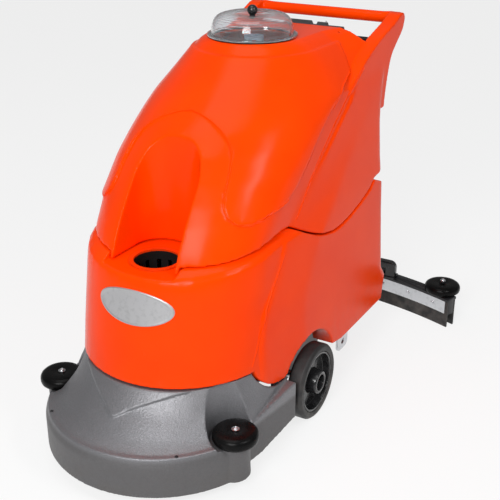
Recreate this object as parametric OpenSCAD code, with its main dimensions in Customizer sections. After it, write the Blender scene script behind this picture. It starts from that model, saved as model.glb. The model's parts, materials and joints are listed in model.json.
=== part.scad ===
// Walk-behind wet and dry floor scrubber: a brush deck in front, a solution tank over
// the wheels, a tilting recovery tank with a moulded handle, and a curved squeegee behind.
// Front is -Y, up is +Z, and the floor is Z = 0.

/* [Wheels] */
// Diameter of the two drive-side wheels
wheel_d = 200; // [180:5:220]
// Width of a wheel's tread
wheel_w = 44; // [36:1:48]
// Distance from the centre plane to a wheel's outer face
wheel_outer_x = 292; // [288:1:298]
// Diameter of the wheel axle
axle_d = 20; // [16:1:24]
// Diameter of a rear castor wheel
castor_d = 90; // [75:1:95]
// Distance from the centre plane to a castor's swivel
castor_x = 112; // [108:1:118]
// Castor trail, from the swivel to its wheel's axle
castor_trail = 30; // [24:1:34]

/* [Brush deck] */
// Radius of the deck's bottom ring
ring_r = 285; // [280:1:290]
// Distance from the wheel axle forward to the brush centre
brush_y = 272; // [268:1:276]
// Height of the deck's lower edge over the floor
ring_clear = 32; // [28:1:36]
// Height of the deck ring's top edge
ring_top = 131; // [126:1:136]
// Wall of the deck casting
deck_wall = 6; // [5:0.5:8]
// Radius of the scrubbing brush
brush_r = 244; // [236:1:248]
// Height of the raised brush over the floor
brush_lift = 38; // [34:1:40]
// Length of the bristles
bristle_len = 40; // [36:1:44]
// Radius of a bumper roller
bumper_r = 54; // [50:1:58]
// Thickness of a bumper roller
bumper_t = 30; // [26:1:32]

/* [Tanks] */
// Height of the front lower edge of the solution tank
tank_front_z = 235; // [232:1:240]
// Wall of both moulded tanks
tank_wall = 7; // [5:0.5:9]
// Gap between the two tanks
seam_gap = 4; // [3:0.5:6]
// Radius of the wheel arches
arch_r = 133; // [128:1:138]
// Radius of the fill opening
fill_r = 58; // [52:1:62]
// Half width of the filling pocket in the hood
pocket_w = 85; // [80:1:90]
// Radius of the lid opening
lid_r = 104; // [98:1:106]
// Radius of the handle bar
bar_r = 18; // [16:0.5:20]
// Height of the handle bar's middle
bar_z = 922; // [912:1:930]
// Height of the lid's dome
dome_h = 50; // [40:1:52]

/* [Squeegee] */
// Radius of the squeegee's curve
squeegee_arc_r = 1192; // [1100:4:1300]
// Half width of the squeegee
squeegee_half = 430; // [410:2:450]
// Distance from the wheel axle back to the middle of the squeegee
squeegee_y = 720; // [712:2:728]
// Thickness of a squeegee blade
blade_t = 5; // [4:0.5:6]
// Half width of the squeegee's yoke
yoke_w = 228; // [200:2:250]

/* [Batteries] */
// Length of a battery, across the machine
battery_l = 330; // [300:2:334]
// Width of a battery, along the machine
battery_w = 172; // [164:1:174]
// Height of a battery's case
battery_h = 232; // [200:2:236]

/* [Fits] */
// Radial clearance of turning shafts and pins
run_clear = 0.05; // [0.03:0.01:0.08]
// Gap between parts that rest on or beside each other
seat_gap = 0.3; // [0.2:0.05:0.5]

/* [Hidden] */
$fn = 64;

orange = "#ff4b00";
silver = "#9a9a9e";
black = "#17171a";
steel = "#b9bcc0";

// The whole part is placed so that its box is centred over the origin.
front_y = -brush_y - ring_r;
squeegee_bar = 12;
squeegee_back = squeegee_bar + blade_t + 3 + 2 * seat_gap;
y_mid = (front_y + squeegee_y + squeegee_back) / 2;

// Smooth curve through a list of points, with n steps from one point to the next.
function eased(a, b, c, d, t) =
    b + (c - a) * t / 2 + (2 * a - 5 * b + 4 * c - d) * t * t / 2 + (3 * b - 3 * c + d - a) * t * t * t / 2;
function smooth(p, n) =
    let (last = len(p) - 1)
    concat([for (i = [0:last - 1], k = [0:n - 1])
        eased(p[max(0, i - 1)], p[i], p[i + 1], p[min(last, i + 2)], k / n)], [p[last]]);

module placed() {
    translate([0, -y_mid, 0]) children();
}

module both() {
    children();
    mirror([1, 0, 0]) children();
}

// A cylinder along X, centred at x, y, z.
module rod_x(x, y, z, r, len) {
    translate([x, y, z]) rotate([0, 90, 0]) cylinder(r = r, h = len, center = true);
}

// A prism along X between two places, whose outline is drawn in Y and Z.
module side_prism(x0, x1) {
    translate([x0, 0, 0])
        rotate([90, 0, 90])
            linear_extrude(x1 - x0)
                children();
}

module box(x0, x1, y0, y1, z0, z1) {
    translate([x0, y0, z0]) cube([x1 - x0, y1 - y0, z1 - z0]);
}

// Faces of a skin over m rings of n points, wound from the bottom ring up.
function skin_faces(n, m) = concat(
    [[for (i = [0:n - 1]) i]],
    [[for (i = [0:n - 1]) n * m - 1 - i]],
    [for (j = [0:m - 2], i = [0:n - 1]) [j * n + i, (j + 1) * n + i, (j + 1) * n + (i + 1) % n]],
    [for (j = [0:m - 2], i = [0:n - 1]) [j * n + i, (j + 1) * n + (i + 1) % n, j * n + (i + 1) % n]]);

module skin(rings) {
    n = len(rings[0]);
    polyhedron(points = [for (r = rings) each r], faces = skin_faces(n, len(rings)));
}

// One level of a tank, as its right half from the front round to the back.
// level: height, half width, front, middle of the front curve, start of the side crease,
// end of the crease, half width of the flank and rear wall. inset pulls the wall in.
front_steps = 10;
corner_steps = 3;
corner_r = 28;
flare_len = 170;
function half_level(s, inset) =
    let (
        w = s[1] - inset,
        d = s[3] - s[2] - inset,
        a_end = s[4] < s[3] ? acos(min(1, (s[3] - s[4]) / d)) : 90,
        xf = s[6] - inset,
        yr = s[7] - inset,
        y_flare = min(s[5] + flare_len, yr - corner_r - 2))
    concat(
        [for (k = [0:front_steps]) let (a = a_end * k / front_steps) [w * sin(a), s[3] - d * cos(a), s[0]]],
        [[w + 1, s[4] + 4, s[0]], [w + 6, s[5] + 4, s[0]], [xf, y_flare, s[0]]],
        [for (k = [0:corner_steps]) let (a = 90 * k / corner_steps)
            [xf - corner_r + corner_r * cos(a), yr - corner_r + corner_r * sin(a), s[0]]]);

// The left half mirrors the right half without repeating the point on the centre plane.
function full_level(s, inset) =
    let (h = half_level(s, inset), n = len(h))
    concat(h, [for (i = [n - 1:-1:1]) [-h[i][0], h[i][1], h[i][2]]]);

// Levels of the solution tank.
lower_levels = [
    [100, 243, -424, -182, -214, -202, 273, 470],
    [200, 243, -424, -182, -214, -202, 270, 500],
    [235, 242, -420, -180, -214, -202, 268, 474],
    [300, 242, -410, -175, -217, -207, 265, 472],
    [360, 241, -400, -168, -208, -197, 262, 471],
    [420, 240, -390, -160, -165, -152, 259, 470],
    [466, 239, -382, -154, -122, -110, 257, 469],
    [482, 236, -376, -152, -108, -97, 256, 468],
    [492, 228, -366, -150, -100, -88, 255, 468],
    [498, 214, -350, -148, -95, -84, 255, 468],
    [560, 200, -340, -140, -80, -60, 252, 466]];

// The shoulder of the solution tank rises from the front towards the wheels.
shoulder_rise = 30;
shoulder_from = -350;
shoulder_to = -120;
function ramp(v, a, b) = min(1, max(0, (v - a) / (b - a)));
function rise(y, z) = shoulder_rise * ramp(y, shoulder_from, shoulder_to) * ramp(z, 420, 482);
function raised(level) = [for (p = level) [p[0], p[1], p[2] + rise(p[1], p[2])]];

// Levels of the recovery tank's hood.
upper_levels = [
    [440, 222, -362, -180, -150, -138, 256, 464],
    [500, 224, -341, -176, -95, -76, 255, 464],
    [535, 226, -326, -154, -64, -38, 254, 462],
    [580, 230, -302, -120, -20, 10, 251, 458],
    [625, 233, -274, -66, 34, 58, 249, 456],
    [670, 235, -243, -15, 98, 110, 246, 456],
    [720, 235, -203, 64, 166, 176, 244, 460],
    [765, 234, -157, 140, 230, 242, 242, 470],
    [800, 231, -112, 200, 270, 282, 239, 482],
    [835, 209, -60, 215, 300, 320, 226, 486],
    [870, 184, -9, 212, 300, 320, 228, 486],
    [897, 160, 26, 196, 300, 320, 216, 486],
    [915, 139, 47, 176, 300, 320, 196, 486],
    [924, 121, 58, 168, 300, 320, 170, 486]];

// Height of the parting line between the tanks, along the machine.
seam = [[-600, 497], [-340, 500], [-300, 505], [-260, 511], [-220, 519], [-160, 528], [-90, 533],
    [-50, 530], [-9, 508], [42, 484], [84, 470], [132, 460], [170, 458], [234, 465], [299, 480],
    [366, 499], [398, 520]];
hinge_y = 398;
hinge_z = 520;
notch_low = [[hinge_y, hinge_z], [560, 456]];
notch_high = [[hinge_y, hinge_z], [560, 538]];

// Everything below the parting line, lowered by drop.
module below_seam(drop) {
    side_prism(-400, 400)
        polygon(concat([[-600, 0], for (p = seam) [p[0], p[1] - drop]],
            [for (p = notch_high) [p[0], p[1] - drop]], [[560, 0]]));
}

// Everything above the parting line, raised by lift.
module above_seam(lift) {
    side_prism(-400, 400)
        polygon(concat([[-600, 1100], for (p = seam) [p[0], p[1] + lift]],
            [for (p = notch_low) [p[0], p[1] + lift]], [[560, 1100]]));
}

module lower_skin(inset) {
    skin([for (s = lower_levels) raised(full_level(s, inset))]);
}

module upper_skin(inset) {
    skin([for (s = upper_levels) full_level(s, inset)]);
}

// Chassis and running gear.
axle_z = wheel_d / 2;
wheel_inner_x = wheel_outer_x - wheel_w;
tunnel_x = 212;
tunnel_z = 195;
rail_x0 = 148;
rail_x1 = 188;
rail_z0 = 135;
rail_z1 = tunnel_z - seat_gap;
frame_front = -258;
frame_rear = 448;

module rail() {
    difference() {
        box(rail_x0, rail_x1, frame_front, frame_rear, rail_z0, rail_z1);
        box(rail_x0 + 3, rail_x1 - 3, frame_front - 1, frame_rear + 1, rail_z0 + 3, rail_z1 - 3);
    }
}

// Side plate that hangs from a rail and carries the axle.
module axle_hanger() {
    difference() {
        side_prism(rail_x1, rail_x1 + 8)
            polygon([[-116, rail_z1], [-116, 150], [-66, 100], [-26, 74], [26, 74], [190, 100],
                [205, 130], [205, rail_z1]]);
        rod_x(rail_x1 + 4, 0, axle_z, axle_d / 2 + run_clear, 20);
    }
}

castor_y = 352;
squeegee_pivot_y = 425;
pivot_r = 9;
pedal_x = 120;
pedal_y = 466;
pedal_z = 150;
lever_x = 165;
lever_y = 516;
lever_z = 150;

// Two ears, w apart, around a cross pin at x, y, z, standing out from the frame's rear.
module rear_ears(x, y, z, w) {
    for (e = [x - w / 2 - 6, x + w / 2]) difference() {
        union() {
            box(e, e + 6, frame_rear - 30, y, z - 14, z + 14);
            rod_x(e + 3, y, z, 14, 6);
        }
        rod_x(e + 3, y, z, 6 + run_clear, 20);
    }
}

// Silver tie-down plate that shows below each side behind the wheel.
module tie_down() {
    box(rail_x0, 250, 214, 264, rail_z0 - 8, rail_z0 - 2);
    box(rail_x0, rail_x1, 214, 264, rail_z0 - 8, rail_z0 + 2);
    difference() {
        union() {
            box(244, 250, 207, 271, 86, rail_z0 - 2);
            rod_x(247, 222, 84, 15, 6);
            rod_x(247, 256, 84, 15, 6);
            box(244, 250, 222, 256, 69, 90);
        }
        rod_x(247, 239, 92, 9, 20);
    }
}

module chassis_frame() {
    color("#2b2b2e") placed() {
        both() rail();
        both() axle_hanger();
        both() tie_down();
        // Uprights that carry the deck casting.
        both() box(rail_x0 + 4, rail_x1, frame_front, frame_front + 26, rail_z0, deck_seat);
        for (y = [-170, 60, frame_rear - 40])
            box(-rail_x0 - 1, rail_x0 + 1, y, y + 40, rail_z1 - 30, rail_z1);
        // Rear plate that takes the squeegee's pivot and the castors.
        difference() {
            box(-rail_x0 - 1, rail_x0 + 1, castor_y - 50, frame_rear, rail_z0, rail_z0 + 6);
            translate([0, squeegee_pivot_y, 0]) cylinder(r = 14, h = 300);
        }
        translate([0, squeegee_pivot_y, rail_z0]) difference() {
            cylinder(r = 20, h = 30);
            translate([0, 0, -1]) cylinder(r = pivot_r + run_clear, h = 40);
        }
        rear_ears(-pedal_x, pedal_y, pedal_z, 36);
        box(-pedal_x - 24, -pedal_x + 24, frame_rear - 30, frame_rear, pedal_z - 14, pedal_z + 14);
        rear_ears(lever_x, lever_y, lever_z, 20);
        box(lever_x - 16, lever_x + 16, frame_rear - 30, frame_rear, lever_z - 14, lever_z + 14);
    }
}

module axle() {
    color(steel) placed()
        rod_x(0, 0, axle_z, axle_d / 2, 2 * (wheel_outer_x - 12));
}

module axle_washers() {
    color(steel) placed() both() {
        difference() {
            rod_x(wheel_outer_x - 16, 0, axle_z, axle_d / 2 + 8, 3);
            rod_x(wheel_outer_x - 16, 0, axle_z, axle_d / 2 + run_clear, 5);
        }
    }
}

// Black moulded rim: hub boss, dished web and the seat of the tyre.
rim_r = wheel_d / 2 - 20;
hub_seat = wheel_outer_x - 18;
hub_face = wheel_outer_x + 6;
module wheel_hub(side) {
    color(black) placed() scale([side, 1, 1]) translate([0, 0, axle_z])
        rotate([0, 90, 0])
            rotate_extrude() polygon([
                [axle_d / 2 + run_clear, wheel_inner_x + 4], [32, wheel_inner_x + 4],
                [34, wheel_inner_x + 14], [rim_r - 10, wheel_inner_x + 10],
                [rim_r - 8, wheel_inner_x + 3], [rim_r, wheel_inner_x + 3],
                [rim_r, wheel_outer_x - 3], [rim_r - 6, wheel_outer_x - 3],
                [rim_r - 9, wheel_inner_x + 20], [34, wheel_inner_x + 22],
                [30, hub_face - 2], [28, hub_face], [21, hub_face], [21, hub_seat],
                [axle_d / 2 + run_clear, hub_seat]]);
}
module wheel_hub_left() { wheel_hub(1); }
module wheel_hub_right() { wheel_hub(-1); }

module tyre(side) {
    color("#2a2a2c") placed() scale([side, 1, 1]) translate([0, 0, axle_z])
        rotate([0, 90, 0])
            rotate_extrude($fn = 96) polygon([
                [rim_r + seat_gap, wheel_inner_x + 2], [wheel_d / 2 - 7, wheel_inner_x],
                [wheel_d / 2, wheel_inner_x + 7], [wheel_d / 2, wheel_outer_x - 7],
                [wheel_d / 2 - 7, wheel_outer_x], [rim_r + seat_gap, wheel_outer_x - 2]]);
}
module tyre_left() { tyre(1); }
module tyre_right() { tyre(-1); }

// Castors under the rear plate.
castor_r = castor_d / 2;
fork_top = rail_z0 - 6 - seat_gap;
module castor_plates() {
    color(steel) placed() both() translate([castor_x, castor_y, 0]) {
        translate([-30, -30, rail_z0 - 6]) cube([60, 60, 6 - seat_gap]);
        translate([0, 0, fork_top - 14]) cylinder(r = 8, h = 16);
    }
}
module castor_fork(side) {
    color(steel) placed() scale([side, 1, 1]) translate([castor_x, castor_y, 0]) {
        difference() {
            translate([0, 0, fork_top - 12]) cylinder(r = 22, h = 12);
            translate([0, 0, fork_top - 20]) cylinder(r = 8 + run_clear, h = 30);
        }
        for (x = [-19, 15]) difference() {
            translate([x, 0, 0]) rotate([90, 0, 90]) linear_extrude(4) polygon([
                [-20, fork_top - 8], [castor_trail - 12, castor_r - 12],
                [castor_trail + 12, castor_r - 12], [20, fork_top - 8]]);
            translate([x, -30, castor_r - 13]) cube([4, 26, 20]);
        }
        // Riveted wheel axle.
        rod_x(0, castor_trail, castor_r, 5, 46);
    }
}
module castor_fork_left() { castor_fork(1); }
module castor_fork_right() { castor_fork(-1); }
module castor_wheel(side) {
    color("#3a3a3d") placed() translate([side * castor_x, castor_y + castor_trail, castor_r])
        rotate([0, 90, 0])
            rotate_extrude() polygon([[5 + run_clear, -13], [castor_r - 14, -13], [castor_r - 12, -11],
                [castor_r - 4, -11], [castor_r, -7], [castor_r, 7], [castor_r - 4, 11],
                [castor_r - 12, 11], [castor_r - 14, 13], [5 + run_clear, 13]]);
}
module castor_wheel_left() { castor_wheel(1); }
module castor_wheel_right() { castor_wheel(-1); }

// Lower outline of the solution tank's lobe in front of each wheel, along the machine.
lobe_edge = [[-232, tank_front_z], [-222, 214], [-207, 197], [-184, 180], [-150, 169], [-105, 167],
    [0, 168]];

// Deck casting.
neck_r = 237;
neck_y = -180;
neck_z = tank_front_z - 4;
deck_seat = neck_z - deck_wall - seat_gap;
shoulder_r = ring_r - 8;
bumper_x = 253;
bumper_y = -350;
bumper_z = ring_top - 8;
band_z = ring_top - 23;
lobe_r = 42;
pocket_r = bumper_r + 6;
pocket_flare = 15;
wing_x0 = 262;
wing_x1 = 286;
wing_rear = -114;
wing_bottom = 60;
wing_top = 160;
motor_hole_r = 96;

// Rings of the deck's flared cone: height, radius, middle and half width at the wings.
cone_rings = [
    [ring_top - 4, shoulder_r - 4, -brush_y, wing_x0 - 2],
    [ring_top + 10, 258, -254, 260],
    [ring_top + 55, 245, -212, 258],
    [neck_z, neck_r, neck_y, 244]];

function deck_ring(r, y, z, w, back, n) =
    concat(
        [for (k = [0:n]) let (a = 90 * k / n) [r * sin(a), y - r * cos(a), z]],
        [[w, back, z]],
        [[-w, back, z]],
        [for (k = [n:-1:1]) let (a = 90 * k / n) [-r * sin(a), y - r * cos(a), z]]);

// Cone from the ring up to the neck, pulled in by inset and cut off level with the wings.
module deck_cone(inset) {
    intersection() {
        skin([for (c = cone_rings)
            deck_ring(c[1] - inset, c[2], c[0] - inset, c[3] - inset, wing_rear - inset, 16)]);
        box(-wing_x0 + 2 + inset, wing_x0 - 2 - inset, -700, 0, 0, 500);
    }
}

// Plan of the skirt: the front arc, the lobes under the bumpers and the wings.
module skirt_plan(inset) {
    intersection() {
        translate([0, -brush_y]) circle(r = ring_r - inset, $fn = 96);
        translate([-wing_x0 + inset, -600]) square([2 * (wing_x0 - inset), 330]);
    }
    both() translate([bumper_x - 8, bumper_y]) circle(r = lobe_r - inset);
}

// Wings beside the wheels, whose upper edge rises to the rear.
module wings(inset, z0) {
    intersection() {
        linear_extrude(300)
            polygon([[-wing_x1 + inset, wing_rear - inset], [-wing_x0 + inset, -290],
                [wing_x0 - inset, -290], [wing_x1 - inset, wing_rear - inset]]);
        side_prism(-300, 300)
            polygon([[-291, z0], [-291, ring_top + 3 - inset], [wing_rear, wing_top - inset],
                [wing_rear, z0]]);
    }
}

// Lower skirt, with the band's upper edge bevelled.
module deck_skirt(inset, z0) {
    bevel_h = ring_top - inset - band_z;
    translate([0, 0, z0]) linear_extrude(band_z - z0) skirt_plan(inset);
    intersection() {
        translate([0, -brush_y, band_z])
            cylinder(r1 = ring_r - inset, r2 = shoulder_r - inset, h = bevel_h, $fn = 96);
        box(-wing_x0 + inset, wing_x0 - inset, -600, -270, 0, 500);
    }
    wings(inset, z0);
    both() translate([bumper_x - 8, bumper_y, band_z])
        cylinder(r = lobe_r - inset, h = bumper_z - inset - band_z);
}

// Lower edge of the raised prow, from the front.
prow_edge = [[-150, neck_z], [-116, 223], [-60, 203], [-30, 189], [0, 176], [30, 189], [60, 203],
    [116, 223], [150, neck_z]];

// Pocket over a bumper roller, widening upward.
module roller_pocket(grow, h) {
    translate([bumper_x, bumper_y, bumper_z - grow])
        cylinder(r1 = pocket_r + grow, r2 = pocket_r + grow + pocket_flare * h / 100, h = h);
}

// Upper edge of the casting behind, under the tank and its lobes.
deck_edge = [[lobe_edge[0][0] - 4, neck_z], for (k = [1:len(lobe_edge) - 1]) lobe_edge[k] - [4, 4]];

module deck_cover() {
    color(silver) placed() difference() {
        union() {
            deck_cone(0);
            deck_skirt(0, ring_clear);
            // Raised prow over the front of the cone.
            intersection() {
                deck_cone(-3);
                translate([0, -200, 0]) rotate([90, 0, 0]) linear_extrude(400)
                    polygon(smooth(prow_edge, 3));
            }
        }
        both() roller_pocket(0, 120);
        difference() {
            union() {
                deck_cone(deck_wall);
                deck_skirt(deck_wall, ring_clear - 1);
            }
            both() roller_pocket(deck_wall, 130);
        }
        both() translate([bumper_x, bumper_y, 0]) cylinder(r = 5 + run_clear, h = 300);
        translate([0, -brush_y, 0]) cylinder(r = motor_hole_r, h = 400);
        // Open behind, clear of the rails, and cut to follow the tank's lower edge.
        box(-216, 216, -222, 0, 0, 400);
        side_prism(-400, 400)
            polygon(concat([[deck_edge[0][0], 500]], smooth(deck_edge, 3), [[0, 500]]));
        side_prism(-400, 400) polygon([[-250, 0], [-250, ring_clear], [-100, wing_bottom + 3], [-100, 0]]);
    }
}

module bumper_bolts() {
    color(steel) placed() both() translate([bumper_x, bumper_y, 0]) {
        translate([0, 0, bumper_z - deck_wall - 10]) cylinder(r = 5, h = bumper_t + deck_wall + 16);
        translate([0, 0, bumper_z - deck_wall - seat_gap - 3]) cylinder(r = 9, h = 3);
        translate([0, 0, bumper_z + bumper_t + 2 * seat_gap]) cylinder(r = 10, h = 2);
        translate([0, 0, bumper_z + bumper_t + 2]) cylinder(r = 8, h = 5, $fn = 6);
    }
}

module roller(x, y, z, t) {
    color(black) placed() translate([x, y, z])
        rotate_extrude() polygon([
            [5 + run_clear, 0], [bumper_r - 12, 0], [bumper_r - 4, 4], [bumper_r, 11],
            [bumper_r, t - 10], [bumper_r - 3, t - 4], [bumper_r - 10, t - 1],
            [bumper_r - 20, t], [5 + run_clear, t]]);
}
module bumper_roller_left() { roller(bumper_x, bumper_y, bumper_z + seat_gap, bumper_t); }
module bumper_roller_right() { roller(-bumper_x, bumper_y, bumper_z + seat_gap, bumper_t); }

// Brush head: a carrier that slides on two posts, with the motor, gearbox and brush.
post_x = 132;
post_r = 8;
brush_z = brush_lift + bristle_len;
plate_t = 14;
gear_z = brush_z + plate_t + 18;
gear_h = 50;
motor_r = 66;
motor_h = 150;

module guide_posts() {
    color(steel) placed() both() translate([post_x, -brush_y, 0]) {
        translate([0, 0, brush_z + plate_t + 3])
            cylinder(r = post_r, h = deck_seat - brush_z - plate_t - 3);
        translate([0, 0, deck_seat - 5]) cylinder(r = post_r + 8, h = 5);
    }
}

module brush_carrier() {
    color("#2b2b2e") placed() difference() {
        union() {
            box(-post_x - 16, post_x + 16, -brush_y - 30, -brush_y + 30, gear_z, gear_z + 8);
            both() translate([post_x, -brush_y, gear_z - 6]) cylinder(r = 16, h = 76);
            translate([0, -brush_y, gear_z]) cylinder(r = 88, h = 8);
        }
        both() translate([post_x, -brush_y, 0]) cylinder(r = post_r + run_clear, h = 300);
        translate([0, -brush_y, 0]) cylinder(r = 40, h = 300);
    }
}

module brush_gearbox() {
    color("#8a8c90") placed() translate([0, -brush_y, gear_z + 8 + seat_gap]) difference() {
        union() {
            cylinder(r = 78, h = gear_h - 8);
            translate([0, 0, gear_h - 8]) cylinder(r = motor_r, h = 8);
            translate([0, 0, -14]) cylinder(r = 30, h = 15);
        }
        translate([0, 0, -20]) cylinder(r = 12 + run_clear, h = 50);
    }
}

module brush_motor() {
    color(black) placed() translate([0, -brush_y, gear_z + 8 + gear_h + 2 * seat_gap]) {
        cylinder(r = motor_r, h = motor_h - 20);
        translate([0, 0, motor_h - 20]) cylinder(r = motor_r - 8, h = 20);
    }
}

module drive_hub() {
    color(steel) placed() translate([0, -brush_y, brush_z + plate_t + seat_gap]) {
        cylinder(r = 45, h = 8);
        cylinder(r = 12, h = 44);
        for (a = [0:120:359]) rotate(a) translate([30, 0, -plate_t + 1]) cylinder(r = 7, h = plate_t);
    }
}

module brush_plate() {
    color("#2f5f9f") placed() translate([0, -brush_y, brush_z]) difference() {
        cylinder(r = brush_r - 6, h = plate_t, $fn = 96);
        for (a = [0:120:359]) rotate(a) translate([30, 0, -1]) cylinder(r = 7.5, h = 30);
        translate([0, 0, -1]) cylinder(r = 16, h = 30);
    }
}

module brush_bristles() {
    color("#33363a") placed() translate([0, -brush_y, brush_lift]) difference() {
        cylinder(r = brush_r, h = bristle_len - seat_gap, $fn = 96);
        translate([0, 0, -1]) cylinder(r = 95, h = bristle_len + 2);
    }
}

// Solution tank.
fill_y = -275;
fill_z = 486;
well_x = battery_l / 2 + 5;
well_y0 = 46;
well_y1 = well_y0 + 2 * battery_w + 12;
well_z = tunnel_z + tank_wall + 1;
recess_z = gear_z + 8 + gear_h + motor_h + 12;
pocket_back = 106;
pocket_corner = 62;
flank_z = 134;

// Everything under the tank's lower outline, raised by lift: a lobe hangs in front of each wheel.
module below_flank(lift) {
    side_prism(-400, 400)
        polygon(concat([[-640, tank_front_z + lift]], [for (p = smooth(lobe_edge, 3)) p + [0, lift]],
            [[180, flank_z + lift], [640, flank_z + lift], [640, -50], [-640, -50]]));
}

// The spaces below and inside the tank that hold no water, each grown by wall.
module tank_hollows(wall) {
    box(-tunnel_x - wall, tunnel_x + wall, -208, 600, 0, tunnel_z + wall);
    translate([0, -brush_y, 0]) cylinder(r = motor_hole_r + wall, h = recess_z + wall);
    both() rod_x(wheel_outer_x, 0, axle_z, arch_r + wall, 2 * (wheel_outer_x - tunnel_x + wall));
    box(-well_x - wall, well_x + wall, well_y0 - wall, well_y1 + wall, well_z - wall, 700);
}

// Plan of the filling pocket: straight sides, round back corners, open to the front.
module pocket_outline(grow) {
    translate([0, fill_y]) {
        translate([-pocket_w - grow, -400])
            square([2 * (pocket_w + grow), 400 + pocket_back - pocket_corner]);
        for (x = [-1, 1]) translate([x * (pocket_w - pocket_corner), pocket_back - pocket_corner])
            circle(r = pocket_corner + grow);
        translate([pocket_corner - pocket_w, 0])
            square([2 * (pocket_w - pocket_corner), pocket_back + grow]);
    }
}

module solution_tank() {
    color(orange) placed() difference() {
        lower_skin(0);
        above_seam(0);
        below_flank(0);
        tank_hollows(0);
        // Water space inside the wall.
        difference() {
            lower_skin(tank_wall);
            above_seam(-tank_wall);
            below_flank(tank_wall);
            tank_hollows(tank_wall);
            translate([0, 0, fill_z - tank_wall]) linear_extrude(200) pocket_outline(12 + tank_wall);
            hinge_seats(hinge_y - 60, seat_z - tank_wall, 8);
        }
        // Pocket floor around the filling opening.
        translate([0, 0, fill_z]) linear_extrude(200) pocket_outline(12);
        translate([0, fill_y, fill_z - 60]) cylinder(r = fill_r, h = 100);
        hinge_seats(hinge_y - 40, seat_z, 0);
    }
}

// Perforated basket that hangs in the filling opening.
strainer_h = 70;
module fill_strainer() {
    color(black) placed() translate([0, fill_y, fill_z]) difference() {
        union() {
            translate([0, 0, seat_gap]) cylinder(r = fill_r + 6, h = 3);
            translate([0, 0, -strainer_h]) cylinder(r = fill_r - 2, h = strainer_h + 1);
        }
        translate([0, 0, -strainer_h + 3]) cylinder(r = fill_r - 5, h = 200);
        for (a = [0:30:359]) rotate(a) translate([fill_r - 10, -5, -strainer_h + 14]) cube([20, 10, 34]);
    }
}

module solution_valve() {
    color(black) placed() translate([0, -100, 0]) {
        translate([-22, -18, tunnel_z - 45]) cube([44, 36, 45 - seat_gap]);
        translate([0, 0, tunnel_z - 60]) cylinder(r = 11, h = 17);
    }
}

// Batteries in their well.
battery_z = well_z + seat_gap;
module battery(i) {
    y0 = well_y0 + 3 + i * (battery_w + 6);
    color("#303338") placed() {
        box(-battery_l / 2, battery_l / 2, y0, y0 + battery_w, battery_z, battery_z + battery_h - 12);
        box(-battery_l / 2 + 5, battery_l / 2 - 5, y0 + 5, y0 + battery_w - 5,
            battery_z + battery_h - 13, battery_z + battery_h);
        for (x = [-1, 1]) translate([x * (battery_l / 2 - 32), y0 + 30, battery_z + battery_h - 1])
            cylinder(r = 8, h = 11);
    }
}
module battery_front() { battery(0); }
module battery_rear() { battery(1); }
// Tank hinge: ears on the solution tank and a lug on the recovery tank, on one pin.
hinge_x = 120;
ear_t = 6;
lug_w = 30;
pin_r = 6;
knuckle_r = 13;
seat_z = hinge_z - 18;
lug_top = hinge_z + 34;
module hinge_seats(y, z, grow) {
    both() box(hinge_x - lug_w / 2 - ear_t - 2 - grow, hinge_x + lug_w / 2 + ear_t + 2 + grow,
        y, hinge_y + 200, z, z + 300);
}

module hinge_brackets() {
    color(steel) placed() both() {
        for (x = [hinge_x - lug_w / 2 - ear_t, hinge_x + lug_w / 2]) difference() {
            union() {
                rod_x(x + ear_t / 2, hinge_y, hinge_z, knuckle_r, ear_t);
                side_prism(x, x + ear_t) polygon([[hinge_y, hinge_z], [well_y1 + 1, seat_z + seat_gap],
                    [well_y1 + 32, seat_z + seat_gap], [well_y1 + 32, seat_z + 5],
                    [hinge_y + 8, hinge_z + 10]]);
            }
            rod_x(x + ear_t / 2, hinge_y, hinge_z, pin_r + run_clear, 20);
        }
        box(hinge_x - lug_w / 2 - ear_t, hinge_x + lug_w / 2 + ear_t, well_y1 + 14, well_y1 + 32,
            seat_z + seat_gap, seat_z + 4);
    }
}

module hinge_pins() {
    color(steel) placed() both() rod_x(hinge_x, hinge_y, hinge_z, pin_r, lug_w + 2 * ear_t + 2);
}

module hinge_lugs() {
    color(steel) placed() both() difference() {
        union() {
            rod_x(hinge_x, hinge_y, hinge_z, knuckle_r - 1, lug_w - 1);
            box(hinge_x - lug_w / 2 + 0.5, hinge_x + lug_w / 2 - 0.5, hinge_y - 4, hinge_y + 4,
                hinge_z, lug_top);
            box(hinge_x - lug_w / 2 - 5, hinge_x + lug_w / 2 + 5, hinge_y - 30, hinge_y + 30,
                lug_top - 4, lug_top);
        }
        rod_x(hinge_x, hinge_y, hinge_z, pin_r + run_clear, lug_w + 2);
    }
}
// Recovery tank: hood, flanks and moulded handle in one piece.
arm_x0 = 198;
arm_x1 = 236;
bar_y = 592;
console_y0 = 378;
console_y1 = 492;
console_z1 = 800;
bay_y = 175;
bay_r = 80;
bay_z = 610;
lid_y = 167;
lid_z = 924;

// Side outline of a handle arm, from the hood up to the bar.
module arm_outline() {
    polygon(concat(
        smooth([[250, 800], [330, 850], [404, 884], [449, 900], [519, 920], [bar_y - 30, bar_z + bar_r - 3],
            [bar_y - 4, bar_z + bar_r - 1], [bar_y + 6, bar_z + 4], [bar_y - 3, bar_z - 28],
            [549, 862], [518, 834], [502, 798], [489, 747], [482, 700]], 3),
        [[300, 700]]));
}

module handle() {
    both() {
        side_prism(arm_x0, arm_x1) arm_outline();
        translate([arm_x1 - bar_r, bar_y, bar_z]) sphere(r = bar_r);
    }
    rod_x(0, bar_y, bar_z, bar_r, 2 * (arm_x1 - bar_r));
}

// The operator's side above the console slope.
module console_cut(grow) {
    side_prism(-arm_x0 - 60, arm_x0 + 60)
        polygon([[console_y0 - grow, 1000], [console_y0 - grow, lid_z + 2],
            [console_y1 - 16 - grow, console_z1], [console_y1 - grow, console_z1 - 40],
            [700, console_z1 - 60], [700, 1000]]);
}

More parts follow.
